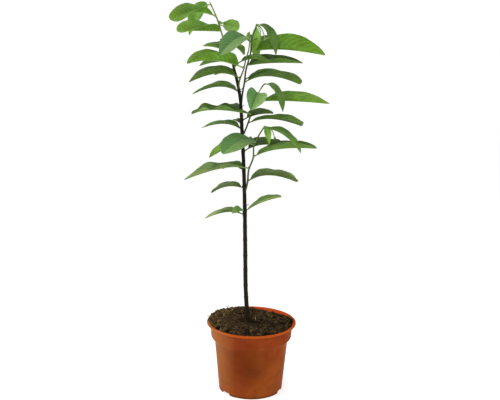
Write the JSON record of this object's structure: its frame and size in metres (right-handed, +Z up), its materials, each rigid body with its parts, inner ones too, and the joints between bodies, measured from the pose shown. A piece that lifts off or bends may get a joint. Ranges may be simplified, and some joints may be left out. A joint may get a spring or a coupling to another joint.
{
  "type": "avocado tree in a pot",
  "caption": "Young potted fruit tree: one slim stem with side shoots and large folded drooping leaves, in a round plastic nursery pot filled with peat.",
  "frame": {"origin": "centre of the flat panel under the pot, where the pot stands", "axes": "+Z up the pot's axis; +X the plant's right and -Y its front, towards the viewer"},
  "size_m": [0.2219, 0.1599, 0.5615],
  "materials": {
    "pot": "satin",
    "soil": "matte",
    "bark": "matte",
    "leaf": "satin"
  },
  "bodies": {
    "root": {"bough_front": "bark", "bough_high": "bark", "bough_low": "bark", "bough_middle": "bark", "leaf_crown_back": "leaf", "leaf_crown_far": "leaf", "leaf_crown_front": "leaf", "leaf_crown_left": "leaf", "leaf_crown_right": "leaf", "leaf_fork": "leaf", "leaf_high_far": "leaf", "leaf_high_left": "leaf", "leaf_low_back": "leaf", "leaf_low_far": "leaf", "leaf_low_left": "leaf", "leaf_low_right": "leaf", "leaf_middle_back": "leaf", "leaf_middle_far": "leaf", "leaf_middle_left": "leaf", "leaf_middle_right": "leaf", "leaf_second_left": "leaf", "leaf_top_arch": "leaf", "leaf_top_far": "leaf", "leaf_top_left": "leaf", "leaf_upper_far": "leaf", "leaf_upper_left": "leaf", "leaf_upper_right": "leaf", "pot": "pot", "shoot_front": "leaf", "shoot_high": "leaf", "shoot_low": "leaf", "shoot_middle": "leaf", "soil": "soil", "trunk": "bark"}
  },
  "joints": []
}
